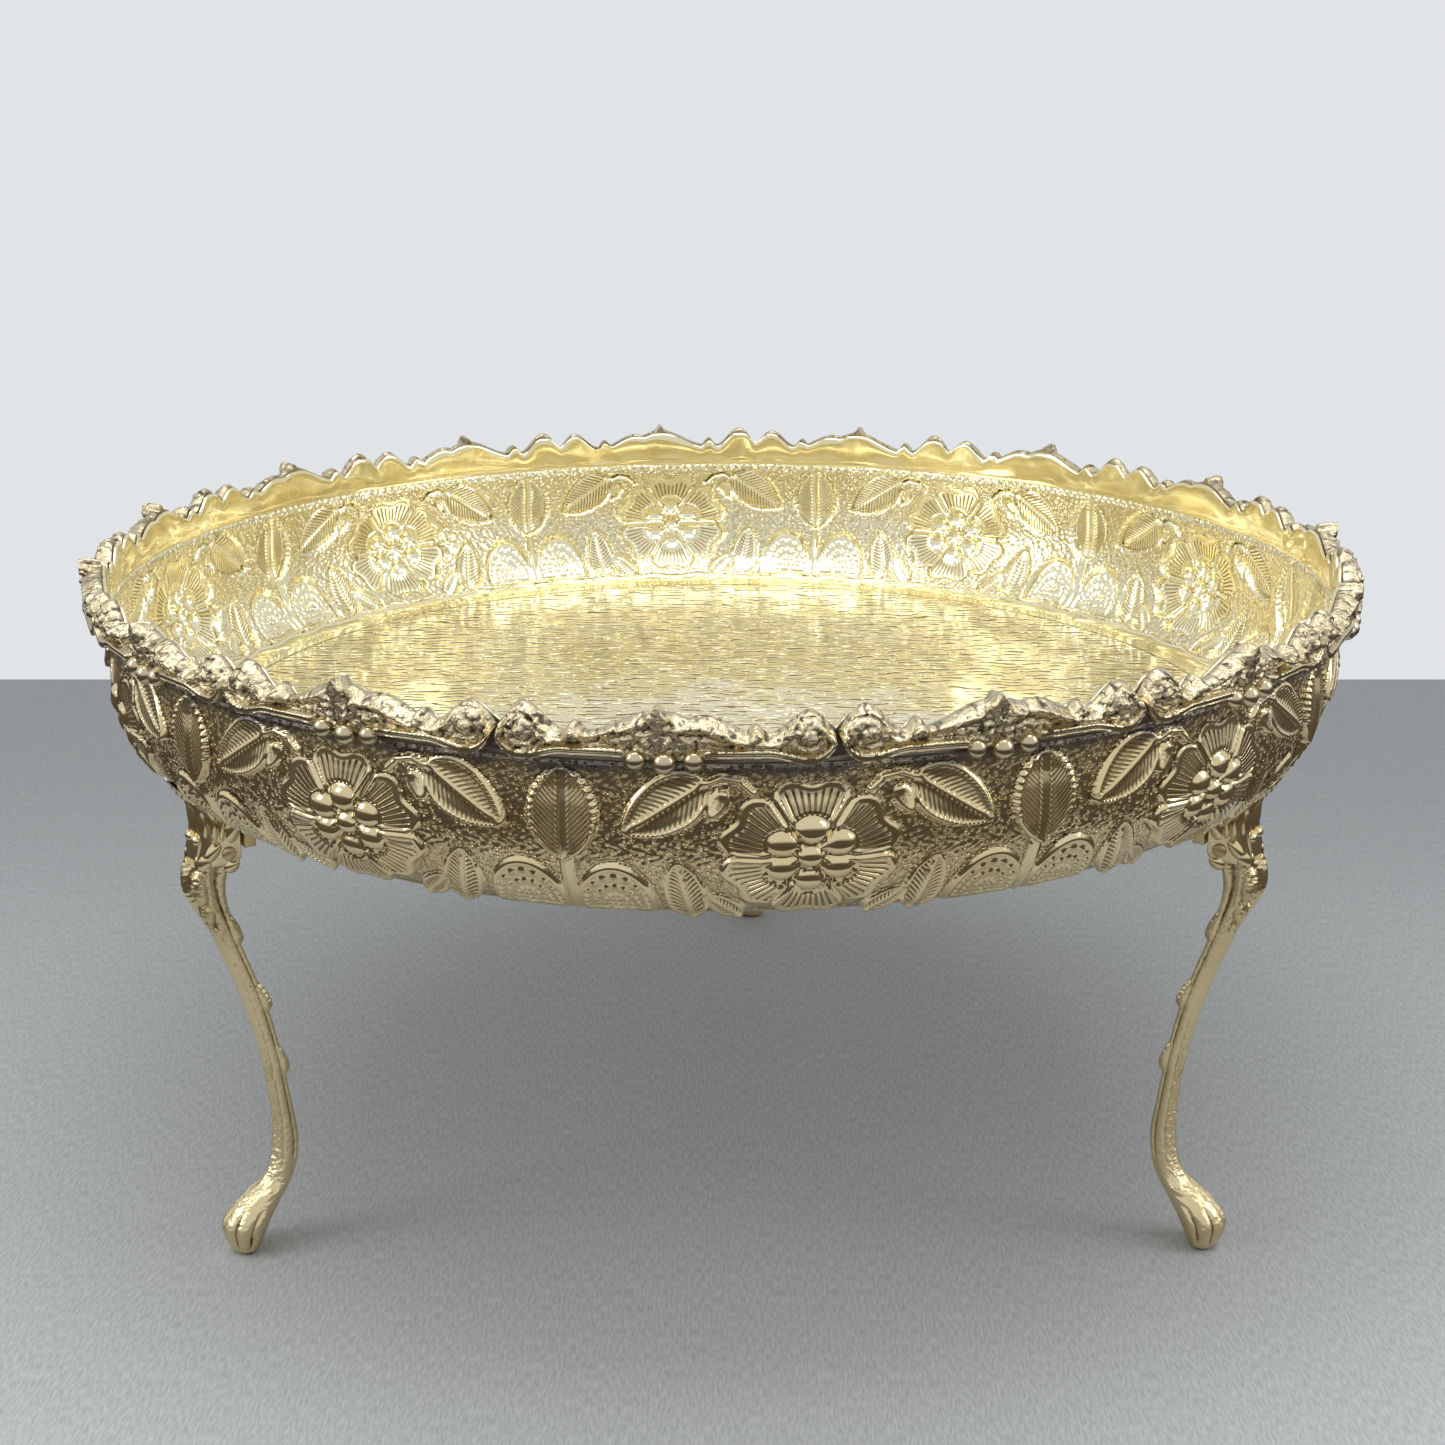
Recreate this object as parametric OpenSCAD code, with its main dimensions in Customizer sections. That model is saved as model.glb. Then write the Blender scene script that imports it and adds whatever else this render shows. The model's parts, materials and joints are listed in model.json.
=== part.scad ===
// Round brass tray on three folding legs.
// The origin is on the ground under the middle of the tray, +Z is up and the front faces -Y.
// Radial sketches are drawn with X outward from the axis and Y up, and then turned into place.

/* [Tray pan] */
// Width across the cast border
rim_d = 360; // [320:1:400]
// Height from the ground to the tips of the crests
overall_h = 188; // [172:1:206]
// Depth from the tips of the crests to the underside of the floor
pan_depth = 55.5; // [50:0.5:64]
// Thickness of the pan's sheet brass
sheet_t = 1; // [0.8:0.1:1.4]
// Radial width of the curve between the floor and the collar
curve_w = 19.5; // [16:0.5:24]
// Height of the curve between the floor and the collar
curve_h = 32.5; // [26:0.5:36]

/* [Cast border] */
// Number of cast segments round the rim
border_count = 15; // [12:1:18]
// Radial width of the lip along the bottom of a segment
border_t = 6; // [5:0.1:7]
// Height of a segment from its lip to the tips of its crest
border_h = 12; // [11:0.1:14]
// Gap between neighbouring segments
segment_gap = 0.5; // [0.3:0.1:1]
// Turn of the first crest from the front
border_turn = -4; // [-12:0.5:12]
// How far the collar's cut edge stays below the border's outline
collar_drop = 1; // [0.5:0.1:2]

/* [Legs] */
// Bearings of the three legs, measured from the front towards +X
leg_bearings = [-58, 59, 176];
// Width of each cheek of the forked head
cheek_t = 3; // [2.4:0.1:4]
// Depth of the cheeks from the hinge's middle to their inner face
lobe_in = 3.5; // [3:0.1:3.8]
// Width of the leaf that rests on the wall
leaf_w = 12; // [10:0.5:16]
// Height of the leaf's tip above the floor's underside
leaf_rise = 9; // [6:0.5:13]
// Thickness of the leaf
leaf_t = 1.6; // [1.2:0.1:2.4]
// Gap between the leaf and the wall
leaf_clearance = 0.4; // [0.3:0.1:1]

/* [Hinges] */
// Drop from the underside of the floor to the pin
pin_drop = 13.2; // [12.6:0.1:15]
// Diameter of the hinge pin
pin_d = 3; // [2.4:0.1:3.6]
// Radial clearance between the pin and a leg's bores
pin_clearance = 0.05; // [0.03:0.01:0.1]
// Radius of the peened heads of the pin
pin_head_r = 2.6; // [2.3:0.1:3]
// Thickness of the peened heads of the pin
pin_head_t = 0.8; // [0.6:0.1:1.2]
// Thickness of the bracket's tongue
tongue_t = 4; // [3:0.1:5]
// Clearance on each side of the tongue and under each head
side_clearance = 0.2; // [0.1:0.05:0.3]
// Radius of the tongue's round end
tongue_r = 4.2; // [3.6:0.1:4.6]
// Gap between the bracket's stop and a cheek
stop_gap = 0.6; // [0.4:0.1:1]
// Depth of the bracket's stop towards the tray's middle
stop_t = 3.4; // [2.6:0.1:4.4]
// Thickness of the bracket's soldered plate
plate_t = 1; // [0.8:0.1:1.2]

/* [Hidden] */
$fn = 96;
rim_r = rim_d / 2;
collar_r = rim_r - border_t;
floor_r = collar_r - curve_w;
floor_z = overall_h - pan_depth;
curve_top_z = floor_z + curve_h;
border_z = overall_h - border_h;
pin_r = floor_r + 0.5;
pin_z = floor_z - pin_drop;
segment_turn = 360 / border_count;
// Half the length of a segment along the collar
half_run = collar_r * sin(segment_turn / 2) - segment_gap / 2;
curve_steps = 20;
outline_steps = 56;
// A margin by which a cutter passes the face that it cuts
past = 1;

// Bumps of a segment's upper edge: place as a share of half the run, half width as a share, height
upper_bumps = [
    [-0.84, 0.24, 6.2], [-0.53, 0.08, 2.6], [-0.04, 0.46, 5.4], [-0.04, 0.11, 7.2],
    [0.22, 0.34, 4.2], [0.53, 0.08, 2.4], [0.84, 0.24, 5.2]
];
upper_base = 4.8;
// Bumps of a segment's lower edge, downward
lower_bumps = [[-0.84, 0.26, 1.6], [0, 0.30, 1.2], [0.84, 0.26, 1.6]];
// Balls under the middle of a segment, as shares of half the run
ball_places = [-0.17, 0, 0.17];
ball_r = 2.1;

// Stations of a leg: height as a share of the pin's, offset outward of the pin, half depth, half width
leg_stations = [
    [0.000, 2.0, 3.2, 4.2], [0.029, 2.0, 4.8, 5.8], [0.075, 1.0, 6.6, 6.6], [0.121, -1.8, 7.2, 5.8],
    [0.158, -7.4, 4.8, 4.3], [0.205, -10.6, 3.5, 3.5], [0.267, -11.6, 3.3, 3.0], [0.346, -11.1, 2.7, 2.7],
    [0.472, -9.3, 2.5, 2.6], [0.577, -6.8, 2.7, 2.7], [0.671, -3.8, 2.7, 2.8], [0.754, -0.4, 2.9, 3.2],
    [0.828, 2.7, 3.5, 4.0], [0.901, 4.9, 4.4, 4.8], [0.950, 4.9, 5.3, 5.1], [0.985, 3.8, 6.1, 5.2]
];
station_steps = 3;
ring_sides = 20;
// Height of the leg's top station below the pin
knee_drop = pin_z * (1 - leg_stations[len(leg_stations) - 1][0]);
slot_w = tongue_t + 2 * side_clearance;
head_w = slot_w + 2 * cheek_t;

// A smooth bump of one unit of height, 1 at its middle and 0 at its ends
function bump(share, middle, half) =
    abs(share - middle) < half ? (1 + cos(180 * (share - middle) / half)) / 2 : 0;

// Height of a segment's upper edge above the border's base at a share of half the run
function upper_edge(share) = upper_base + max([for (b = upper_bumps) b[2] * bump(share, b[0], b[1])]);

// Drop of a segment's lower edge below its straight line
function lower_edge(share) = max([for (b = lower_bumps) b[2] * bump(share, b[0], b[1])]);

// Points of a row of shares from -1 to 1
function shares(steps) = [for (i = [0 : steps]) 2 * i / steps - 1];

// Wall curve from the floor to the collar, moved inward by a thickness
function wall_curve(inward) = [
    for (i = [0 : curve_steps])
    let (a = 90 * i / curve_steps)
    [floor_r + (curve_w - inward) * sin(a), curve_top_z - (curve_h - inward) * cos(a)]
];

// A point on the smooth curve through four stations
function between(p, q, r, s, t) =
    0.5 * (2 * q + (r - p) * t + (2 * p - 5 * q + 4 * r - s) * t * t + (3 * q - p - 3 * r + s) * t * t * t);

// The leg's stations with smooth steps between them
function leg_rows() =
    let (last = len(leg_stations) - 1)
    [
        for (i = [0 : last - 1]) for (k = [0 : station_steps - 1])
        between(
            leg_stations[max(i - 1, 0)], leg_stations[i], leg_stations[i + 1],
            leg_stations[min(i + 2, last)], k / station_steps
        ),
        leg_stations[last]
    ];

// Turns a child drawn towards +X to a bearing from the front
module at_bearing(bearing) {
    rotate([0, 0, bearing - 90]) children();
}

// Stands a radial sketch up and gives it a width across the radial plane
module across(width) {
    rotate([90, 0, 0]) linear_extrude(height = width, center = true) children();
}

// ---- Tray pan: one sheet of brass, raised from the floor to the scalloped collar

module pan_sheet() {
    outer = concat([[0, floor_z]], wall_curve(0), [[collar_r, overall_h]]);
    inner = wall_curve(sheet_t);
    back = [for (i = [curve_steps : -1 : 0]) inner[i]];
    polygon(concat(outer, [[collar_r - sheet_t, overall_h]], back, [[0, floor_z + sheet_t]]));
}

// What is cut away above one repeat of the collar's outline, X along the rim and Y up from the ground.
// It rises past both ends, so that neighbouring cuts cross in a small point.
module collar_waste() {
    reach = collar_r * sin(segment_turn / 2) + segment_gap;
    point_z = border_z + upper_base + 2 * segment_gap;
    top_z = overall_h + past;
    outline = [for (s = shares(outline_steps)) [s * half_run, border_z + upper_edge(s) - collar_drop]];
    polygon(concat([[-reach, top_z], [-reach, point_z]], outline, [[reach, point_z], [reach, top_z]]));
}

module tray_pan() {
    color("gold")
    difference() {
        rotate_extrude() pan_sheet();
        for (i = [0 : border_count - 1])
            at_bearing(border_turn + i * segment_turn)
                translate([collar_r - 2 * border_t, 0, 0])
                    rotate([90, 0, 90]) linear_extrude(height = 3 * border_t) collar_waste();
    }
}

// ---- Cast border: segments soldered round the outside of the collar

module border_profile() {
    body_t = border_t * 0.72;
    polygon([
        [collar_r, border_z - 3], [rim_r - 1, border_z - 3], [rim_r - 1, border_z],
        [rim_r, border_z + 0.4], [rim_r, border_z + 2], [collar_r + body_t, border_z + 3.2],
        [collar_r + body_t + 0.8, border_z + 6.5], [collar_r + body_t, border_z + 10],
        [collar_r + body_t * 0.6, overall_h], [collar_r, overall_h]
    ]);
}

module border_segment(index) {
    upper = [for (s = shares(outline_steps)) [s * half_run, border_z + min(upper_edge(s), border_h)]];
    lower = [for (s = shares(outline_steps)) [-s * half_run, border_z - lower_edge(-s)]];
    half_angle = segment_turn / 2 - segment_gap / collar_r * 90 / PI;
    color("tan")
    at_bearing(border_turn + index * segment_turn) {
        intersection() {
            rotate([0, 0, -half_angle]) rotate_extrude(angle = 2 * half_angle) border_profile();
            rotate([90, 0, 90]) linear_extrude(height = 2 * rim_r) polygon(concat(upper, lower));
        }
        for (share = ball_places)
            rotate([0, 0, share * half_angle])
                translate([collar_r + ball_r + 0.6, 0, border_z - 0.4 * ball_r]) sphere(ball_r);
    }
}

// ---- Hinge: a soldered bracket with a tongue, and the pin through it

module bracket(bearing) {
    stop_x = -lobe_in - stop_gap;
    stop_h = pin_drop - stop_gap;
    color("darkgoldenrod")
    at_bearing(bearing)
        translate([pin_r, 0, pin_z])
            difference() {
                union() {
                    translate([stop_x - stop_t, -head_w / 2, pin_drop - plate_t])
                        cube([stop_t + 2 * lobe_in + stop_gap, head_w, plate_t]);
                    translate([stop_x - stop_t, -head_w / 2, stop_gap])
                        cube([stop_t, head_w, stop_h]);
                    across(tongue_t) {
                        translate([stop_x - stop_t, stop_gap]) square([stop_t - stop_x, stop_h]);
                        square([tongue_r * 0.75, pin_drop]);
                        circle(r = tongue_r);
                    }
                }
                rotate([90, 0, 0]) cylinder(h = head_w + past, d = pin_d, center = true);
            }
}

module pin(bearing) {
    half = head_w / 2 + side_clearance;
    color("goldenrod")
    at_bearing(bearing)
        translate([pin_r, 0, pin_z])
            rotate([90, 0, 0]) {
                cylinder(h = 2 * half, d = pin_d, center = true);
                for (side = [-1, 1])
                    translate([0, 0, side * (half + pin_head_t / 2)])
                        cylinder(h = pin_head_t, r = pin_head_r, center = true);
            }
}

// ---- Leg: a cast cabriole with a forked head, a leaf that rests on the wall and a pad foot

// The leg's curved shank, swept as rings from the sole to the knee
module shank() {
    rows = leg_rows();
    last = len(rows) - 1;
    points = [
        for (row = rows) for (k = [0 : ring_sides - 1])
        let (a = 360 * k / ring_sides)
        [row[1] + row[2] * cos(a), row[3] * sin(a), row[0] * pin_z - pin_z]
    ];
    sides = [
        for (i = [0 : last - 1]) for (k = [0 : ring_sides - 1])
        let (m = (k + 1) % ring_sides, here = i * ring_sides, above = here + ring_sides)
        [here + k, above + k, above + m, here + m]
    ];
    sole = [[for (k = [0 : ring_sides - 1]) k]];
    top = [[for (k = [ring_sides - 1 : -1 : 0]) last * ring_sides + k]];
    polyhedron(points = points, faces = concat(sole, sides, top));
}

// Side view of the head: the cheeks beside the tongue, the shoulder and the knee
module head_sketch() {
    top = pin_drop - plate_t - stop_gap;
    polygon([
        [-lobe_in, -1.2], [-lobe_in, top - 2.4], [-lobe_in + 1, top - 0.6], [-lobe_in + 2.6, top],
        [3.4, top], [6, pin_drop + 3], [9.2, pin_drop + 3], [8.2, top - 2], [8.4, 3], [9, -1],
        [9, -knee_drop - 1.5], [-1.6, -knee_drop - 1.5], [-2.8, -2.6]
    ]);
}

// Space that the tongue sweeps between the cheeks
module slot_sketch() {
    circle(r = tongue_r + stop_gap);
    translate([-2 * pin_drop, 0]) square([2 * pin_drop + lobe_in, 2 * pin_drop]);
}

// Front view of the leaf, a pointed oval, X across and Y up
module leaf_outline() {
    tip = pin_drop + leaf_rise;
    tall = tip - 1;
    bow = (tall * tall + leaf_w * leaf_w) / (4 * leaf_w);
    translate([0, tip - tall / 2])
        intersection() {
            translate([bow - leaf_w / 2, 0]) circle(r = bow);
            translate([leaf_w / 2 - bow, 0]) circle(r = bow);
        }
}

// The pan's curve moved outward by a gap, as a solid
module wall_space(gap) {
    top = [[collar_r + gap, overall_h], [0, overall_h]];
    rotate_extrude() polygon(concat([[0, floor_z - gap]], wall_curve(-gap), top));
}

module leg(bearing) {
    color("burlywood")
    difference() {
        union() {
            at_bearing(bearing)
                translate([pin_r, 0, pin_z])
                    difference() {
                        union() {
                            shank();
                            across(head_w) head_sketch();
                        }
                        across(slot_w) slot_sketch();
                        rotate([90, 0, 0])
                            cylinder(h = head_w + past, d = pin_d + 2 * pin_clearance, center = true);
                    }
            intersection() {
                wall_space(leaf_clearance + leaf_t);
                at_bearing(bearing)
                    translate([pin_r + lobe_in + 1, 0, pin_z])
                        rotate([90, 0, 90]) linear_extrude(height = border_t * 4) leaf_outline();
            }
        }
        wall_space(leaf_clearance);
    }
}

tray_pan();
border_segment(0);  // border_segment_01
border_segment(1);  // border_segment_02
border_segment(2);  // border_segment_03
border_segment(3);  // border_segment_04
border_segment(4);  // border_segment_05
border_segment(5);  // border_segment_06
border_segment(6);  // border_segment_07
border_segment(7);  // border_segment_08
border_segment(8);  // border_segment_09
border_segment(9);  // border_segment_10
border_segment(10);  // border_segment_11
border_segment(11);  // border_segment_12
border_segment(12);  // border_segment_13
border_segment(13);  // border_segment_14
border_segment(14);  // border_segment_15
bracket(leg_bearings[0]);  // bracket_left
bracket(leg_bearings[1]);  // bracket_right
bracket(leg_bearings[2]);  // bracket_back
pin(leg_bearings[0]);  // pin_left
pin(leg_bearings[1]);  // pin_right
pin(leg_bearings[2]);  // pin_back
leg(leg_bearings[0]);  // leg_left
leg(leg_bearings[1]);  // leg_right
leg(leg_bearings[2]);  // leg_back
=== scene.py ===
# %% [markdown]
# # A brass tray on three folding legs
# The CAD frame already holds the tray's true sizes, and says how its legs fold.
# This lesson dresses that frame: an embossed pan, a cast border, cast legs and their hinges.
# Every length below is in metres, so one millimetre has a name of its own.

# %% Load the frame
import bmesh
import bpy
import json
import math
import numpy as np
from mathutils import Matrix, Vector, noise


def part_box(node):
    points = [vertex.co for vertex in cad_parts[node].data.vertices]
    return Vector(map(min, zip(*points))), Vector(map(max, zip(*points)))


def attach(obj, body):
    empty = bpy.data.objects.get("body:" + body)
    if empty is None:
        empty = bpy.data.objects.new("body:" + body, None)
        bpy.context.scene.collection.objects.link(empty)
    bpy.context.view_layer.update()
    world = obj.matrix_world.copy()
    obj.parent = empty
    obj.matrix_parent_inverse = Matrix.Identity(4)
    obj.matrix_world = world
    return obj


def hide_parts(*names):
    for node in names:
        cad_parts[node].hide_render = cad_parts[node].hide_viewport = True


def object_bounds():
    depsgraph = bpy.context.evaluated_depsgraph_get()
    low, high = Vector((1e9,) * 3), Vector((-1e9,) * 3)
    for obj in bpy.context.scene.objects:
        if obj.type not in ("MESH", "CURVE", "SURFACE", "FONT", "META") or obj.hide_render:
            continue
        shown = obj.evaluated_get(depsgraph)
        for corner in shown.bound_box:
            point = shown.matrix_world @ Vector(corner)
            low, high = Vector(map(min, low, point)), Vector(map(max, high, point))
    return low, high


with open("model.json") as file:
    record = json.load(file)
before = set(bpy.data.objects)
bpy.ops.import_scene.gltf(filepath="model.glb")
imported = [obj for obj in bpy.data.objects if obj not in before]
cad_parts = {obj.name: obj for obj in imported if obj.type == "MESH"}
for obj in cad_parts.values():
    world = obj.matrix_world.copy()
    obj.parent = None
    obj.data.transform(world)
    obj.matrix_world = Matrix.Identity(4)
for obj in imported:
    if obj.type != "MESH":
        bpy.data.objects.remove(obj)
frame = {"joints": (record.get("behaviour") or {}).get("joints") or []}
cad_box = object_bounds()
MM = 0.001
print("frame", [round(v / MM, 1) for corner in cad_box for v in corner], "mm")

# %% [markdown]
# ## The camera
# A product picture of a tray looks down a little, so that its floor and its outer wall both show.
# The camera stands in front, about the height of two hands above the rim, and tilts down.
# A lens a little longer than normal keeps the round rim from looking stretched.

# %% Camera
def add_object(name, data):
    item = bpy.data.objects.new(name, data)
    bpy.context.scene.collection.objects.link(item)
    return item


look_down = 17.57
camera = add_object("camera", bpy.data.cameras.new("camera"))
camera.data.lens = 52.3
camera.data.sensor_width = 36
camera.location = (0, -0.5985, 0.3173)
camera.rotation_euler = (math.radians(90 - look_down), 0, 0)
bpy.context.scene.camera = camera
print("camera", camera.data.lens, "mm lens")

# %% [markdown]
# ## The measures of the pan
# The sheet is a flat disc that turns up through a quarter of an ellipse and ends in an upright collar.
# The box of the pan gives its collar and its underside. The other measures are the frame's own.

# %% Measures
pan_low, pan_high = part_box("tray_pan")
collar_r = pan_high.x
floor_z = pan_low.z
rim_top = cad_box[1].z
sheet_t = 1 * MM
curve_w, curve_h = 19.5 * MM, 32.5 * MM
floor_r = collar_r - curve_w
curve_top = floor_z + curve_h
border_z = rim_top - 12 * MM
ring_r = floor_r - 4.5 * MM
legs = {j["child"]: j for j in frame["joints"]}
leg_bearings = {body: math.atan2(j["pos_m"][0], -j["pos_m"][1]) for body, j in legs.items()}
print("collar radius", round(collar_r / MM, 2), "floor radius", round(floor_r / MM, 2))
print("leg bearings", [round(math.degrees(b), 1) for b in leg_bearings.values()])

# %% [markdown]
# ## Helpers for every piece
# A piece is shaped near the X axis, where its sketch is easy to read, and is then turned to its bearing.
# The last step gives it its materials, smooth shading and its body.

# %% Turning and finishing
def turned(bearing):
    """The turn that takes what is drawn towards +X to a bearing measured from the front."""
    return Matrix.Rotation(bearing - math.pi / 2, 4, "Z")


def mesh_of(bm, name):
    mesh = bpy.data.meshes.new(name)
    bm.to_mesh(mesh)
    bm.free()
    return mesh


def merge_in(bm, mesh):
    """Adds a mesh to a bmesh, and drops the mesh."""
    bm.from_mesh(mesh)
    bpy.data.meshes.remove(mesh)


def finish_piece(name, shape, body, materials, sharp=None):
    """Makes an object of a mesh or a bmesh, and lets it ride on its body."""
    mesh = shape if isinstance(shape, bpy.types.Mesh) else mesh_of(shape, name)
    for material in materials:
        mesh.materials.append(material)
    mesh.shade_smooth()
    if sharp:
        mesh.set_sharp_from_angle(angle=math.radians(sharp))
    piece = add_object(name, mesh)
    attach(piece, body)
    print(name, len(mesh.polygons), "faces")
    return piece


def read_points(mesh):
    points = np.zeros(len(mesh.vertices) * 3)
    mesh.vertices.foreach_get("co", points)
    return points.reshape(-1, 3)


def write_points(mesh, points):
    mesh.vertices.foreach_set("co", points.ravel())
    mesh.update()


def soft_step(x, low, high):
    """0 below low, 1 above high, and a smooth rise between them."""
    t = np.clip((x - low) / (high - low), 0, 1)
    return t * t * (3 - 2 * t)


def ridge(distance, width):
    """A smooth ridge, 1 on its line and fading over its width."""
    return np.exp(-((distance / width) ** 2))


def dome(distance, size):
    """A round hill, 1 at its middle and 0 at its size."""
    return np.sqrt(np.clip(1 - (distance / size) ** 2, 0, 1))


def close_skin(bm):
    """Joins the points that meet, and turns every face outward."""
    bmesh.ops.remove_doubles(bm, verts=bm.verts, dist=1e-6)
    bmesh.ops.recalc_face_normals(bm, faces=bm.faces)


def spin_outline(bm, outline, steps):
    """Spins a chain of points once round the Z axis."""
    points = [bm.verts.new(point) for point in outline]
    edges = [bm.edges.new(pair) for pair in zip(points, points[1:])]
    bmesh.ops.spin(
        bm, geom=points + edges, axis=(0, 0, 1), cent=(0, 0, 0), angle=2 * math.pi, steps=steps, use_merge=True
    )
    close_skin(bm)


def ease_edges(bm, edges, width, segments):
    """Rounds edges off. The width is in metres."""
    bmesh.ops.bevel(
        bm, geom=list(edges), offset=width, offset_type="OFFSET", segments=segments, profile=0.5,
        affect="EDGES", clamp_overlap=True, material=-1
    )


def grid_mesh(columns, rows, sharp_border=False):
    """A flat square of one unit round the origin, as a mesh and its points."""
    bm = bmesh.new()
    bmesh.ops.create_grid(bm, x_segments=columns, y_segments=rows, size=0.5)
    for edge in bm.edges:
        edge.smooth = not (sharp_border and edge.is_boundary)
    mesh = mesh_of(bm, "grid")
    return mesh, read_points(mesh)

# %% [markdown]
# ## The finish that all the brass shares
# Polished brass is never quite even: it has cloudy patches, hair scratches from the cloth, and a brown film
# wherever the cloth can't reach. One node group makes these three, and each material gives it its own colours.
# The group puts out a colour, a roughness and a height, so the shader itself stays in every material.

# %% Node helpers
def new_group(name, inputs, outputs):
    """An empty node group with its sockets, its input node and its output node."""
    group = bpy.data.node_groups.new(name, "ShaderNodeTree")
    for socket, kind, value in inputs:
        item = group.interface.new_socket(socket, in_out="INPUT", socket_type=kind)
        if value is not None:
            item.default_value = value
    for socket, kind in outputs:
        group.interface.new_socket(socket, in_out="OUTPUT", socket_type=kind)
    return group, group.nodes.new("NodeGroupInput"), group.nodes.new("NodeGroupOutput")


def plug(tree, value, socket):
    """Joins a socket to a socket, or sets a plain value on it. A colour gets its alpha here."""
    if isinstance(value, bpy.types.NodeSocket):
        tree.links.new(value, socket)
    else:
        socket.default_value = (*value, 1) if socket.type == "RGBA" else value


def add_node(tree, kind, inputs):
    """A node whose inputs are joined or set by name."""
    node = tree.nodes.new(kind)
    for name, value in inputs.items():
        plug(tree, value, node.inputs[name])
    return node


def maths(tree, operation, *values):
    node = tree.nodes.new("ShaderNodeMath")
    node.operation = operation
    for value, socket in zip(values, node.inputs):
        plug(tree, value, socket)
    return node.outputs[0]


def smooth_mask(tree, value, low, high):
    """0 where the value is at low, 1 where it is at high."""
    node = add_node(tree, "ShaderNodeMapRange", {"Value": value, "From Min": low, "From Max": high})
    node.interpolation_type = "SMOOTHSTEP"
    return node.outputs["Result"]


def noise_field(tree, vector, scale, detail=3, roughness=0.5, stretch=(1, 1, 1), distortion=0):
    """Cloudy noise over a vector in metres: a scale of 100 gives patches of about 10 mm."""
    mapping = add_node(tree, "ShaderNodeMapping", {"Vector": vector, "Scale": [scale * s for s in stretch]})
    field = {"Vector": mapping.outputs[0], "Scale": 1, "Detail": detail}
    field.update({"Roughness": roughness, "Distortion": distortion})
    return add_node(tree, "ShaderNodeTexNoise", field).outputs["Fac"]


def split_axes(tree, vector):
    """The X, Y and Z of a vector."""
    return add_node(tree, "ShaderNodeSeparateXYZ", {"Vector": vector}).outputs


def mixed(tree, factor, first, second):
    node = tree.nodes.new("ShaderNodeMix")
    node.data_type = "RGBA"
    plug(tree, factor, node.inputs["Factor"])
    plug(tree, first, node.inputs["A"])
    plug(tree, second, node.inputs["B"])
    return node.outputs["Result"]


# %% The group of polish, scratches and tarnish
VECTOR, FLOAT, COLOR = "NodeSocketVector", "NodeSocketFloat", "NodeSocketColor"


def make_polish_group():
    group, given, result = new_group(
        "brass_polish",
        [("Vector", VECTOR, None), ("Bright", COLOR, None), ("Worn", COLOR, None), ("Film", COLOR, None),
         ("Tarnish", FLOAT, 0), ("Gloss", FLOAT, 0.2)],
        [("Color", COLOR), ("Roughness", FLOAT), ("Height", FLOAT)],
    )
    place = given.outputs["Vector"]
    cloud = smooth_mask(group, noise_field(group, place, 45, 4, 0.6), 0.35, 0.68)
    speck = noise_field(group, place, 900, 2)
    scratch_a = noise_field(group, place, 500, 2, 0.6, stretch=(0.12, 2.2, 0.5), distortion=0.4)
    scratch_b = noise_field(group, place, 500, 2, 0.6, stretch=(1.8, 0.14, 0.7), distortion=0.4)
    hairs = maths(group, "ADD", smooth_mask(group, scratch_a, 0.6, 0.7), smooth_mask(group, scratch_b, 0.62, 0.72))
    film_edge = maths(group, "MULTIPLY_ADD", maths(group, "SUBTRACT", speck, 0.5), 0.5, given.outputs["Tarnish"])
    film = smooth_mask(group, film_edge, 0.25, 0.85)
    metal = mixed(group, cloud, given.outputs["Bright"], given.outputs["Worn"])
    group.links.new(mixed(group, film, metal, given.outputs["Film"]), result.inputs["Color"])
    rough = maths(group, "MULTIPLY_ADD", cloud, 0.06, given.outputs["Gloss"])
    rough = maths(group, "MULTIPLY_ADD", hairs, 0.03, rough)
    group.links.new(maths(group, "MULTIPLY_ADD", film, 0.28, rough), result.inputs["Roughness"])
    height = maths(group, "MULTIPLY_ADD", hairs, -0.12, maths(group, "MULTIPLY", speck, 0.2))
    group.links.new(height, result.inputs["Height"])
    return group


polish_group = make_polish_group()
print("polish group", len(polish_group.nodes), "nodes")

# %% [markdown]
# ## Punched rings and chased lines
# Two small tools finish an embossed wall. A ring punch, struck close together, mats the ground between
# the motifs. A chasing tool cuts the fine lines of petals and veins. Both marks are finer than the mesh,
# so they are drawn by the material, at places that the mesh hands over as an attribute and a UV map.

# %% The groups of the two tools
def make_ring_group():
    group, given, result = new_group(
        "ring_punches", [("Vector", VECTOR, None), ("Pitch", FLOAT, 0.0015)], [("Height", FLOAT)]
    )
    scaled = group.nodes.new("ShaderNodeVectorMath")
    scaled.operation = "SCALE"
    group.links.new(given.outputs["Vector"], scaled.inputs[0])
    group.links.new(maths(group, "DIVIDE", 1.0, given.outputs["Pitch"]), scaled.inputs["Scale"])
    spread = {"Vector": scaled.outputs[0], "Scale": 1, "Randomness": 0.75}
    cells = add_node(group, "ShaderNodeTexVoronoi", spread)
    off_ring = maths(group, "ABSOLUTE", maths(group, "SUBTRACT", cells.outputs["Distance"], 0.3))
    group.links.new(smooth_mask(group, off_ring, 0.02, 0.17), result.inputs["Height"])
    return group


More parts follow.
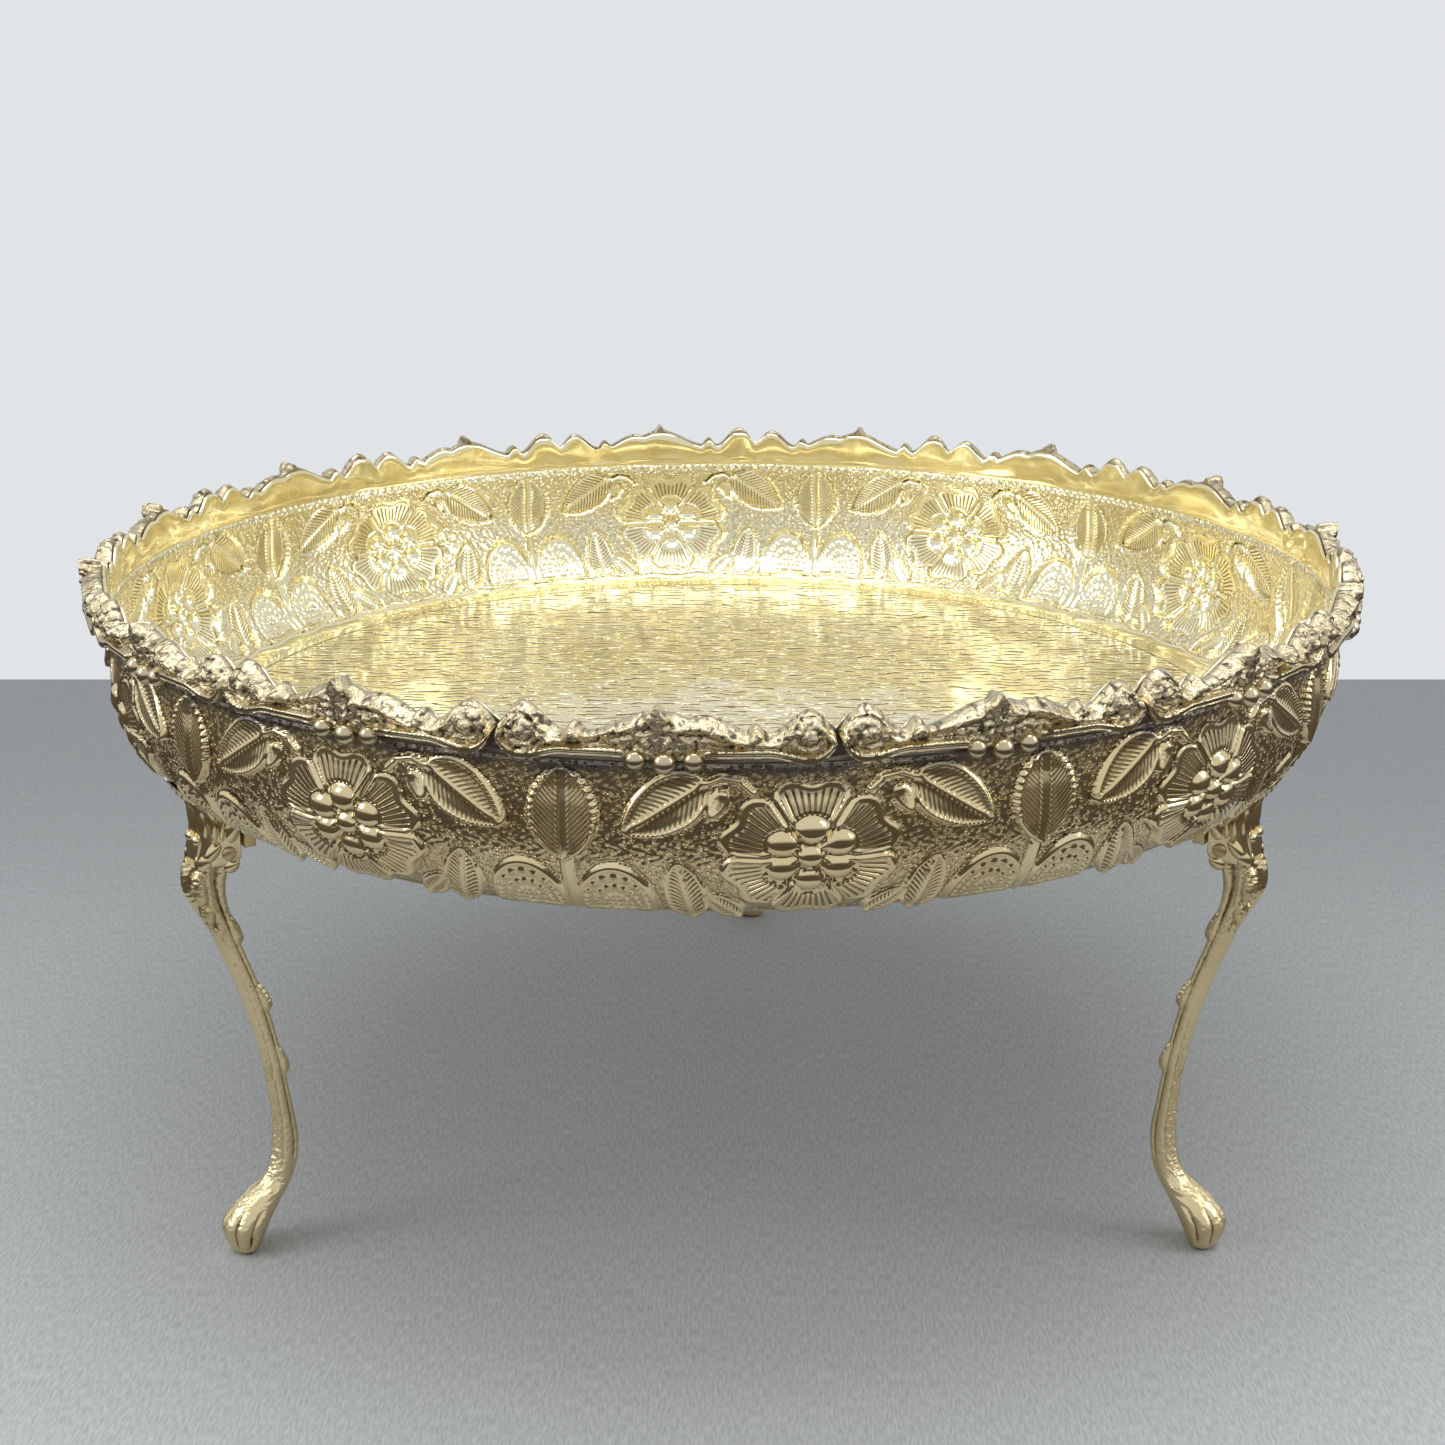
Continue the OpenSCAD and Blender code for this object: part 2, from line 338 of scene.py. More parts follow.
def make_chase_group():
    group, given, result = new_group(
        "chased_lines", [("Count", FLOAT, 0), ("Depth", FLOAT, 0)], [("Height", FLOAT)]
    )
    wave = maths(group, "COSINE", maths(group, "MULTIPLY", given.outputs["Count"], 2 * math.pi))
    cut = smooth_mask(group, wave, -0.1, 0.9)
    group.links.new(maths(group, "MULTIPLY", cut, given.outputs["Depth"]), result.inputs["Height"])
    return group


ring_group, chase_group = make_ring_group(), make_chase_group()
print("tool groups", ring_group.name, chase_group.name)


def place_group(tree, group, **inputs):
    node = tree.nodes.new("ShaderNodeGroup")
    node.node_tree = group
    for name, value in inputs.items():
        plug(tree, value, node.inputs[name])
    return node.outputs


def polished(tree, place, bright, worn, film, gloss, tarnish):
    """The shared finish of brass, in a material's own colours."""
    return place_group(
        tree, polish_group, Vector=place, Bright=bright, Worn=worn, Film=film, Tarnish=tarnish, Gloss=gloss
    )


def new_material(name, metal=1):
    """A material with its tree, its shader and the object's own coordinates."""
    material = bpy.data.materials.new(name)
    material.use_nodes = True
    tree = material.node_tree
    shader = tree.nodes["Principled BSDF"]
    shader.inputs["Metallic"].default_value = metal
    place = tree.nodes.new("ShaderNodeTexCoord").outputs["Object"]
    return material, tree, shader, place


def paint(tree, shader, colour, roughness, height=None, depth=0):
    """Gives a shader its colour, its roughness and a bump, whose height of 1 stands for a depth in metres."""
    plug(tree, colour, shader.inputs["Base Color"])
    plug(tree, roughness, shader.inputs["Roughness"])
    if height is not None:
        bump = add_node(tree, "ShaderNodeBump", {"Strength": 1, "Distance": depth, "Height": height})
        tree.links.new(bump.outputs[0], shader.inputs["Normal"])


def attribute(tree, name):
    node = tree.nodes.new("ShaderNodeAttribute")
    node.attribute_name = name
    return node.outputs["Fac"]


def uv_map(tree, name):
    node = tree.nodes.new("ShaderNodeUVMap")
    node.uv_map = name
    return node.outputs[0]

# %% [markdown]
# ## Sheet brass, outside and inside
# The outside of the pan is a pale champagne brass, stained grey and brown along the solder under the border.
# The inside is a lighter, yellower brass, painted light that stands for what the bowl reflects into itself. Both
# sides share the same tool marks.

# %% Materials of the sheet
def make_sheet_brass(name, bright, worn, film, gloss, solder):
    material, tree, shader, place = new_material(name)
    rings = place_group(tree, ring_group, Vector=uv_map(tree, "sheet"), Pitch=1.4 * MM)["Height"]
    rings = maths(tree, "MULTIPLY", rings, attribute(tree, "ground"))
    lines = split_axes(tree, uv_map(tree, "chasing"))
    cuts = place_group(tree, chase_group, Count=lines["X"], Depth=lines["Y"])["Height"]
    up = split_axes(tree, place)["Z"]
    ragged = maths(tree, "MULTIPLY_ADD", noise_field(tree, place, 90, 3), 11 * MM, up)
    stain = maths(tree, "MULTIPLY", smooth_mask(tree, ragged, border_z - 1.6 * MM, border_z + 2.6 * MM), solder)
    marks = maths(tree, "MULTIPLY_ADD", cuts, 0.7, attribute(tree, "recess"))
    tarnish = maths(tree, "MAXIMUM", marks, maths(tree, "MULTIPLY", rings, 0.45))
    skin = polished(tree, place, bright, worn, film, gloss, tarnish)
    colour = mixed(tree, stain, skin["Color"], (0.16, 0.145, 0.14))
    rough = maths(tree, "MULTIPLY_ADD", stain, 0.22, skin["Roughness"])
    height = maths(tree, "MULTIPLY_ADD", cuts, -0.65, maths(tree, "MULTIPLY_ADD", skin["Height"], 0.02, rings))
    paint(tree, shader, colour, rough, height, 0.5 * MM)
    return material


outer_brass = make_sheet_brass(
    "pan_outside", (0.82, 0.69, 0.42), (0.77, 0.62, 0.35), (0.20, 0.13, 0.06), 0.09, 0.9
)
# The inside copy of the sheet's brass is painted lighter: painted light and reflection from the bowl.
inner_brass = make_sheet_brass(
    "pan_inside", (0.91, 0.85, 0.63), (0.88, 0.80, 0.53), (0.36, 0.26, 0.09), 0.09, 0.0
)
# The collar's inside is painted lighter than the outside too: painted light from the bowl.
collar_brass = make_sheet_brass(
    "collar_inside", (0.89, 0.81, 0.56), (0.85, 0.75, 0.45), (0.42, 0.30, 0.12), 0.05, 0.0
)
print("sheet materials", outer_brass.name, inner_brass.name)

# %% [markdown]
# ## The embossed wall
# On the real tray the flowers are pushed out of a flat ring of sheet with blunt punches, and the ring is then
# raised into a bowl. The same order works here. A flat grid of one repeat gets its hills and hollows, and is
# then bent up the curve and round the axis. A thickness is added last, so the inside shows every flower in
# reverse. Sculpting the bowl directly would need the same work ten times over.

# %% The curve of the wall
steps = np.linspace(0, math.pi / 2, 200)
curve_r = np.append(floor_r + curve_w * np.sin(steps), collar_r)
curve_z = np.append(curve_top - curve_h * np.cos(steps), border_z)
curve_run = np.append(0, np.cumsum(np.hypot(np.diff(curve_r), np.diff(curve_z))))
slope = np.arctan2(np.gradient(curve_z, curve_run), np.gradient(curve_r, curve_run))


def raise_sheet(turn, run, out):
    """Bends flat points round the axis: an angle from +X, a distance up the curve, and a height off it."""
    tilt = np.interp(run, curve_run, slope, left=0)
    r = np.where(run < 0, floor_r + run, np.interp(run, curve_run, curve_r)) + out * np.sin(tilt)
    z = np.interp(run, curve_run, curve_z) - out * np.cos(tilt)
    return np.stack([r * np.cos(turn), r * np.sin(turn), z], -1)


print("the curve is", round(curve_run[-2] / MM, 1), "mm long below the collar")

# %% [markdown]
# ## Drawing one motif
# Each repeat has a large six-petalled flower, a leaf on a curled stem to each side, and half a palmette at
# each end. Simple shapes are enough: a leaf is an oval that narrows to a point, and a petal is a slice of a
# wavy circle. Each shape gives how far a point lies inside its edge, and that distance makes the raised rim,
# the dished middle and the mask of the ground at once. The lengths in this cell are in millimetres.

# %% The parts of a motif
class Relief:
    """A flat field of heights, with the marks that the material will cut into it."""

    def __init__(self, u, v):
        self.u, self.v = u, v
        self.height = np.full(u.shape, -0.62)
        self.cover = np.zeros(u.shape)
        self.count = np.zeros(u.shape)
        self.depth = np.zeros(u.shape)

    def lay(self, inside, height, count=None, depth=0.0, edge=0.9):
        """Lays a shape over what is there. inside is the distance within its outline."""
        mask = soft_step(inside, -0.35, edge)
        self.height += (height - self.height) * mask
        self.cover = np.maximum(self.cover, soft_step(inside, -0.7, 0.1))
        if count is not None:
            self.count = np.where(inside > 0, count, self.count)
            self.depth = np.where(inside > 0, depth, self.depth)


def turned_axes(relief, u0, v0, degrees):
    """Distances along and across a line through a point."""
    c, s = math.cos(math.radians(degrees)), math.sin(math.radians(degrees))
    du, dv = relief.u - u0, relief.v - v0
    return du * c + dv * s, dv * c - du * s


def lay_leaf(relief, u0, v0, degrees, length, width, lift=0.75, vein=1.3):
    """A pointed leaf with a rolled rim, a midrib and slanting veins. It points along its turn."""
    along, across = turned_axes(relief, u0, v0, degrees)
    share = np.clip(along / length, -1, 1)
    half = width * (1 - np.abs(share) ** 2.4) ** 0.8 * (1 - 0.22 * share)
    side = np.abs(across)
    inside = np.minimum(half - side, (1 - np.abs(along / length)) * length * 0.8)
    taper = soft_step(1 - share, 0, 0.5)
    height = lift - 0.42 * soft_step(inside, 0.6, 2.4) + 0.16 * ridge(inside - 0.6, 0.5)
    height -= np.clip(0.15 * (relief.v - v0), -0.8, 0.7)
    height += 0.55 * ridge(across, 0.55 + 0.35 * taper) * taper
    cut = soft_step(inside, 1.1, 1.9) * soft_step(side, 0.5, 1.2)
    relief.lay(inside, height, (along - 0.9 * side) / vein, cut)


def lay_flower(relief, v0):
    du, dv = relief.u, (relief.v - v0) * 1.1
    far, turn = np.hypot(du, dv), np.arctan2(dv, du)
    part = turn / (math.pi / 3)
    within = part - np.floor(part) - 0.5
    edge = 19.6 - 0.8 * np.cos(4 * math.pi * within) - 2.6 * np.abs(2 * within) ** 9
    inside = edge - far
    dish = 1.35 - 0.95 * soft_step(far, 7, 20) - 0.055 * dv
    height = dish + 0.16 * ridge(inside - 0.9, 0.6) - 0.35 * soft_step(-inside, -0.9, 0.4)
    gap = far * np.abs(np.sin((0.5 - np.abs(within)) * math.pi / 3))
    height += 0.5 * ridge(gap - 0.95, 0.42) - 0.55 * ridge(gap, 0.5)
    cut = soft_step(far, 10.2, 11.2) * soft_step(inside, 2.2, 3.4) * soft_step(gap, 1.2, 1.8)
    relief.lay(inside, height, part * 11, cut, edge=1.1)
    around = [math.radians(a) for a in range(30, 390, 60)]
    for x, y, size in [(0, 0, 3.0)] + [(7.0 * math.cos(a), 7.0 * math.sin(a), 3.45) for a in around]:
        off = np.hypot(du - x, dv - y)
        relief.height -= 0.4 * ridge(off - size - 0.55, 0.5)
        relief.height = np.where(off < size, 0.35 + 1.75 * dome(off, size), relief.height)
        relief.depth = np.where(off < size + 1, 0, relief.depth)


def palmette_half(v):
    """Half the width of a palmette's upright leaf, at a height."""
    return 7.6 * (1 - np.clip(np.abs(v - 37.2) / 11.2, 0, 1) ** 2.2) ** 0.75


def lay_palmette(relief, u0):
    """An upright leaf edged with beads, over two spreading lobes with rows of dots."""
    side = np.abs(relief.u - u0)
    v = relief.v
    arch = np.hypot((side - 10.2) / 9.4, (v - 11.0) / 14.6)
    inside = np.minimum((1 - arch) * 9.4, v - 7.2)
    height = 0.6 + 0.12 * ridge(inside - 0.8, 0.55) - 0.25 * soft_step(inside, 1.2, 4)
    turn = np.arctan2(v - 9.0, side - 10.2) * 9.0
    gap = 2.0
    for row in (2.3, 4.4, 6.4):
        dot = np.hypot(inside - row, (turn / gap - np.round(turn / gap)) * gap)
        height += 0.5 * soft_step(0.68 - dot, 0, 0.4)
    relief.lay(inside, height, inside / 2.1 + 0.13, 0.25 * soft_step(inside, 1.0, 1.6))
    stalk = np.minimum(1.9 - side - 0.02 * (v - 8), np.minimum(v - 7.5, 31 - v))
    relief.lay(stalk, 0.75 - 0.25 * side, edge=0.6)
    inside = palmette_half(v) - side
    height = 0.7 + 0.15 * ridge(inside - 0.8, 0.6) + 0.75 * ridge(side, 0.55) - 0.35 * ridge(side - 1.4, 0.5)
    height -= np.clip(0.12 * (v - 37), -0.7, 0.8)
    cut = soft_step(inside, 1.2, 1.9) * soft_step(side, 1.1, 1.7)
    relief.lay(inside, height, (v - 1.1 * side) / 1.25, cut)
    for k in range(9):
        v0 = 33.6 + 1.6 * k
        off = np.hypot(side - palmette_half(v0) + 0.3, v - v0)
        relief.height += 0.75 * dome(off, 0.68)
        relief.cover = np.maximum(relief.cover, soft_step(1.3 - off, 0, 0.5))


def lay_stem(relief, points, thick=0.75):
    """A raised wire that follows a few points."""
    for (ua, va), (ub, vb) in zip(points, points[1:]):
        du, dv = ub - ua, vb - va
        t = np.clip(((relief.u - ua) * du + (relief.v - va) * dv) / (du * du + dv * dv), 0, 1)
        off = np.hypot(relief.u - ua - t * du, relief.v - va - t * dv)
        relief.lay(thick - off, 0.15 + 0.6 * dome(off, thick), edge=0.3)


def draw_repeat(u, v):
    """One repeat of the wall: u runs from the flower's middle and v up from the floor's edge."""
    relief = Relief(u, v)
    bed = 0.5 + 0.5 * np.sin(u * 2.1 + 1.7 * np.sin(v * 1.3)) * np.sin(v * 2.4 + 1.3 * np.sin(u * 1.1))
    relief.height += 0.22 * bed
    for side in (-1, 1):
        flip = 0 if side > 0 else 180
        lay_leaf(relief, side * 27.0, 17.0, flip + side * 80, 10.0, 5.0, 0.6)
        lay_leaf(relief, side * 18.6, 11.6, flip + side * 48, 6.6, 3.5, 0.5, 1.1)
        lay_palmette(relief, side * 52.8)
        lay_stem(relief, [(side * 12.5, 43.5), (side * 15.2, 46.2), (side * 19.0, 46.9), (side * 23.0, 45.2)])
        lay_leaf(relief, side * 20.0, 40.6, flip - side * 62, 4.0, 2.2, 0.5, 1.0)
        lay_leaf(relief, side * 31.0, 40.0, flip - side * 34, 11.2, 6.4)
    lay_flower(relief, 28.0)
    scallop = 48.4 + 0.75 * np.abs(np.sin(math.pi * u / 2.64))
    relief.height += 0.4 * ridge(v - scallop, 0.4)
    hem = 7.0 - 1.3 * np.abs(np.cos(math.pi * u / 17.6))
    band = soft_step(v, hem, hem + 0.9) * (1 - soft_step(v, 49.3, 50.0))
    relief.height = relief.height * band - 0.3 * ridge(v - hem + 0.4, 0.45)
    relief.cover = np.maximum(relief.cover, 1 - band)
    relief.depth = relief.depth * band
    return relief


sample = draw_repeat(*np.meshgrid(np.linspace(-52, 52, 99), np.linspace(-4, 53, 99))).height
print("relief from", round(sample.min(), 2), "to", round(sample.max(), 2), "mm")

# %% [markdown]
# ## Ten sectors of wall
# The whole wall in one mesh would be too heavy to handle, so each repeat is a piece of its own, joined to its
# neighbours along the midrib of a palmette, where a fine line belongs anyway. The relief fades out beside the
# legs, whose leaves rest on a plain patch of the wall.

# %% Wall sectors
repeat_count = 10
repeat_turn = math.radians(360 / repeat_count)
first_flower = math.radians(6.4)
motif_r = 168 * MM
wall_bottom, wall_top = -4.5 * MM, 50.4 * MM


def leg_patch(bearing, run):
    """1 where a leg's leaf rests, and 0 away from it."""
    patch = np.zeros(bearing.shape)
    for place in leg_bearings.values():
        off = np.abs((bearing - place + math.pi) % (2 * math.pi) - math.pi) * motif_r / MM
        patch = np.maximum(patch, 1 - soft_step(np.hypot(off / 10, run / MM / 24), 0.75, 1.1))
    return patch


def add_uv(mesh, name, first, second):
    """A UV map from two values for each point of the mesh."""
    corners = np.zeros(len(mesh.loops), np.int32)
    mesh.loops.foreach_get("vertex_index", corners)
    layer = mesh.uv_layers.new(name=name)
    layer.data.foreach_set("uv", np.stack([first[corners], second[corners]], -1).ravel())


def add_value(mesh, name, values):
    mesh.attributes.new(name, "FLOAT", "POINT").data.foreach_set("value", values)


def thicken(piece):
    """Gives a skin the thickness of the sheet, inward, with the second material on the inside and the rim."""
    wall = piece.modifiers.new("sheet", "SOLIDIFY")
    wall.thickness, wall.offset = sheet_t, -1
    wall.material_offset, wall.material_offset_rim = 1, 1
    return piece


def make_wall_sector(index):
    columns, rows = ((246, 128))
    mesh, flat = grid_mesh(columns, rows, sharp_border=True)
    turn = flat[:, 0] * repeat_turn
    run = wall_bottom + (flat[:, 1] + 0.5) * (wall_top - wall_bottom)
    relief = draw_repeat(turn * motif_r / MM, run / MM)
    bearing = first_flower + index * repeat_turn + turn
    out = relief.height * (1 - leg_patch(bearing, run)) * MM
    write_points(mesh, raise_sheet(bearing - math.pi / 2, run, out))
    add_uv(mesh, "chasing", relief.count, relief.depth)
    add_uv(mesh, "sheet", bearing * motif_r, run)
    add_value(mesh, "ground", 1 - relief.cover)
    add_value(mesh, "recess", soft_step(-relief.height, 0.1, 0.75) * 0.42)
    name = f"wall_sector_{index + 1:02d}"
    return thicken(finish_piece(name, mesh, "tray", [outer_brass, inner_brass]))


wall_sectors = [make_wall_sector(i) for i in range(repeat_count)]

# %% [markdown]
# ## The chased floor
# The floor is covered with short wavy strokes that all run one way and make it glitter. They are shallower
# than a sheet of paper, so the material cuts them, and the mesh carries the larger waves that the hammer
# leaves. A half section spun round the axis gives an even disc.

# %% Material of the floor
def make_floor_brass():
    material, tree, shader, place = new_material("pan_floor")
    axes = split_axes(tree, place)
    drift = noise_field(tree, place, 105, 2, 0.5)
    rows = maths(tree, "MULTIPLY_ADD", drift, 2.3, maths(tree, "DIVIDE", axes["Y"], 3.4 * MM))
    wave = maths(tree, "SINE", maths(tree, "MULTIPLY", rows, 2 * math.pi))
    breaks = noise_field(tree, place, 240, 1, 0.5, stretch=(0.6, 1.2, 1))
    strokes = maths(tree, "MULTIPLY", smooth_mask(tree, wave, 0.1, 0.95), smooth_mask(tree, breaks, 0.42, 0.54))
    squares = [maths(tree, "MULTIPLY", axes[name], axes[name]) for name in "XY"]
    far = maths(tree, "SQRT", maths(tree, "ADD", *squares))
    area = smooth_mask(tree, far, floor_r - 3 * MM, floor_r - 9 * MM)
    strokes = maths(tree, "MULTIPLY", strokes, area)
    # The floor takes the lighter inside brass: painted light, as on the inside wall.
    bright, worn, film = (0.90, 0.84, 0.62), (0.87, 0.79, 0.54), (0.26, 0.19, 0.07)
    skin = polished(tree, place, bright, worn, film, 0.09, strokes)
    height = maths(tree, "MULTIPLY_ADD", skin["Height"], 0.08, maths(tree, "MULTIPLY", strokes, -1.0))
    paint(tree, shader, skin["Color"], skin["Roughness"], height, 0.75 * MM)
    return material


floor_brass = make_floor_brass()


# %% Floor disc
def make_pan_floor():
    rings, around, wave = 84, 240, 0.22 * MM
    bm = bmesh.new()
    spin_outline(bm, [(ring_r * i / rings, 0, 0) for i in range(rings + 1)], around)
    for v in bm.verts:
        far = math.hypot(v.co.x, v.co.y)
        fade = 1 - soft_step(np.array(far), ring_r - 14 * MM, ring_r - 1 * MM)
        v.co.z = floor_z + wave * float(fade) * noise.noise(v.co * 55)
    if sum(f.normal.z for f in bm.faces) > 0:
        bmesh.ops.reverse_faces(bm, faces=bm.faces)
    mesh = mesh_of(bm, "pan_floor")
    x, y, z = read_points(mesh).T
    add_uv(mesh, "sheet", x, y)
    add_uv(mesh, "chasing", 0 * x, 0 * x)
    return thicken(finish_piece("pan_floor", mesh, "tray", [outer_brass, floor_brass]))


pan_floor = make_pan_floor()

# %% [markdown]
# ## The scalloped collar
# Above the relief the sheet runs up polished, softly dented, and its edge is cut to follow the cast border.
# One repeat of the border's outline is a few smooth bumps, so the same short list serves both pieces.

# %% Outline of the border and the collar
segment_count = 15
segment_turn = math.radians(360 / segment_count)
first_crest = math.radians(-4)
half_gap = 0.25 * MM
half_run = collar_r * math.sin(segment_turn / 2) - half_gap
upper_bumps = [
    (-0.84, 0.24, 6.2), (-0.53, 0.08, 2.6), (-0.04, 0.46, 5.4), (-0.04, 0.11, 7.2),
    (0.22, 0.34, 4.2), (0.53, 0.08, 2.4), (0.84, 0.24, 5.2)
]
lower_bumps = [(-0.84, 0.26, 1.6), (0, 0.30, 1.2), (0.84, 0.26, 1.6)]


def highest_bump(share, bumps):
    heights = []
    for middle, half, height in bumps:
        off = np.minimum(np.abs(share - middle) / half, 1)
        heights.append(height * (1 + np.cos(math.pi * off)) / 2)
    return np.max(heights, axis=0)


def upper_edge(share):
    return border_z + (4.8 + highest_bump(share, upper_bumps)) * MM


def lower_edge(share):
    return border_z - highest_bump(share, lower_bumps) * MM


def make_collar():
    columns_per_segment, rows = 48, 12
    foot, tallest, below_edge = border_z - 2.4 * MM, border_z + 10.0 * MM, 1.0 * MM
    mesh, flat = grid_mesh(segment_count * columns_per_segment, rows)
    turn = (flat[:, 0] + 0.5) * 2 * math.pi
    share = (turn - first_crest) / segment_turn
    share = 2 * (share - np.round(share))
    run = flat[:, 1] + 0.5
    z = foot + run * (np.minimum(upper_edge(share), tallest) - below_edge - foot)
    out = 0.25 * MM * ridge(z - foot - 0.6 * MM, 0.5 * MM)
    dent = np.array([noise.noise(Vector((math.cos(t) * 14, math.sin(t) * 14, h * 90))) for t, h in zip(turn, z)])
    out = out + 0.45 * MM * (dent + 0.7) * np.sin(math.pi * run) ** 0.5
    r = collar_r - out
    write_points(mesh, np.stack([r * np.cos(turn - math.pi / 2), r * np.sin(turn - math.pi / 2), z], -1))
    bm = bmesh.new()
    merge_in(bm, mesh)
    close_skin(bm)
    face = bm.faces[:][0]
    if face.normal.xy.dot(face.calc_center_median().xy) < 0:
        bmesh.ops.reverse_faces(bm, faces=bm.faces)
    mesh = mesh_of(bm, "collar")
    x, y, z = read_points(mesh).T
    add_uv(mesh, "sheet", x, z)
    add_uv(mesh, "chasing", 0 * x, 0 * x)
    return thicken(finish_piece("collar", mesh, "tray", [outer_brass, collar_brass]))


collar = make_collar()

# %% [markdown]
# ## Cast brass
# The border and the legs are cast, not raised. Sand leaves a grainy skin in the hollows, and the polisher's
# wheel only brightens what stands proud. The material reads a mask of the hollows from the mesh and keeps
# them dark and rough, while a fine noise gives the skin its grain.

# %% Cast materials
def make_cast_brass(name, bright, worn, film, gloss, grain, grain_depth):
    material, tree, shader, place = new_material(name)
    hollow = attribute(tree, "recess")
    sand = noise_field(tree, place, grain, 4, 0.65)
    pits = smooth_mask(tree, noise_field(tree, place, grain * 0.45, 3, 0.6), 0.5, 0.72)
    rough_mask = attribute(tree, "grainy")
    tarnish = maths(tree, "MULTIPLY_ADD", maths(tree, "MULTIPLY", pits, rough_mask), 0.4, hollow)
    skin = polished(tree, place, bright, worn, film, gloss, tarnish)
    grit = maths(tree, "MULTIPLY", maths(tree, "SUBTRACT", sand, maths(tree, "MULTIPLY", pits, 0.7)), rough_mask)
    height = maths(tree, "MULTIPLY_ADD", skin["Height"], 0.15, grit)
    paint(tree, shader, skin["Color"], skin["Roughness"], height, grain_depth)
    return material


border_brass = make_cast_brass(
    "border_cast", (0.70, 0.60, 0.40), (0.56, 0.47, 0.30), (0.11, 0.09, 0.07), 0.16, 700, 0.4 * MM
)
leg_brass = make_cast_brass(
    "leg_cast", (0.80, 0.67, 0.40), (0.72, 0.58, 0.33), (0.20, 0.13, 0.06), 0.12, 620, 0.3 * MM
)
hinge_brass = make_cast_brass(
    "hinge_filed", (0.66, 0.52, 0.27), (0.50, 0.38, 0.19), (0.12, 0.08, 0.05), 0.30, 500, 0.12 * MM
)
print("cast materials", border_brass.name, leg_brass.name, hinge_brass.name)

# %% [markdown]
# ## One cast segment of the border
# Fifteen short castings are soldered round the collar. Each has a shell at both ends, scrolls that climb to a
# crest with a knob, a smooth lip along its foot and three balls under the crest. A flat grid is rolled into a
# closed skin: its first half becomes the front, from the lip up, and its second half comes down the back.
# The front then swells by a sum of small hills, as a pattern maker builds up wax.

# %% Rolling a grid into a closed skin
def rolled_skin(around, along, place):
    """A closed skin from a grid. place turns shares along and round it into points and their two masks."""
    bm = bmesh.new()
    recess, grainy = bm.verts.layers.float.new("recess"), bm.verts.layers.float.new("grainy")
    bmesh.ops.create_grid(bm, x_segments=along, y_segments=around, size=0.5)
    grid = np.array([v.co[:2] for v in bm.verts]) + 0.5
    for vertex, point, hollow, grit in zip(bm.verts, *place(grid[:, 0], grid[:, 1])):
        vertex.co = point
        vertex[recess], vertex[grainy] = hollow, grit
    bmesh.ops.remove_doubles(bm, verts=bm.verts, dist=2e-6)
    ends = [e for e in bm.edges if e.is_boundary]
    bmesh.ops.holes_fill(bm, edges=ends, sides=0)
    bmesh.ops.recalc_face_normals(bm, faces=bm.faces)
    return bm


# %% The front of a segment
def segment_outline(share):
    """The foot and the top of a segment above the border's line, in mm, drawn in to round both ends."""
    end = (1 - np.abs(share)) * half_run / MM
    tuck = 1 - np.sqrt(1 - (1 - np.clip(end / 5.2, 0, 1)) ** 2)
    foot = (lower_edge(share) - border_z) / MM + 5.0 * tuck
    top = np.minimum((upper_edge(share) - border_z) / MM, 12) - 2.2 * tuck
    return foot, np.maximum(top, foot + 0.05), end


def segment_front(share, up, foot, top):
    """How far the front stands off the collar, in mm. up is the height above the border's line, in mm."""
    depth = 3.1 + 0.9 * ridge((up - foot) / (top - foot) - 0.6, 0.4)
    depth += 0.7 * ridge(top - up - 0.7, 0.45)
    for middle, lean in ((-0.84, 1), (0.84, -1)):
        du, dv = (share - middle) * half_run / MM, up - 4.8
        far, turn = np.hypot(du, dv), np.arctan2(dv, du * lean)
        depth += 1.2 * dome(far, 5.0) + 0.8 * dome(far, 1.5)
        wind = np.mod(far / 2.7 - turn / (2 * math.pi) + 0.35, 1)
        depth -= 0.85 * ridge(wind - 0.5, 0.2) * soft_step(far, 1.2, 1.9) * (1 - soft_step(far, 4.0, 5.0))
    for start, finish, low, high in ((-0.68, -0.14, 2.9, 7.6), (0.06, 0.66, 6.6, 3.2)):
        t = np.clip((share - start) / (finish - start), 0, 1)
        line = low + (high - low) * soft_step(t, 0, 1) + 0.7 * np.sin(2 * math.pi * t)
        hold = soft_step(share, start - 0.05, start + 0.03) * (1 - soft_step(share, finish - 0.03, finish + 0.05))
        depth += hold * (1.3 * ridge(up - line, 1.1) - 0.6 * ridge(up - line + 2.0, 0.8))
    du = (share + 0.04) * half_run / MM
    depth += 1.0 * soft_step(up, 0.0, 3.0) * ridge(du, 4.4)
    fan = np.arctan2(du, up - 0.5)
    depth += 0.5 * np.cos(fan * 9) * ridge(np.hypot(du, up - 5) - 3.6, 2.2)
    depth += 1.7 * dome(np.hypot(du * 0.8, up - 9.6), 2.5)
    for middle in (-0.53, 0.53):
        depth += 1.3 * dome(np.hypot((share - middle) * half_run / MM, up - 5.6), 1.9)
    return depth


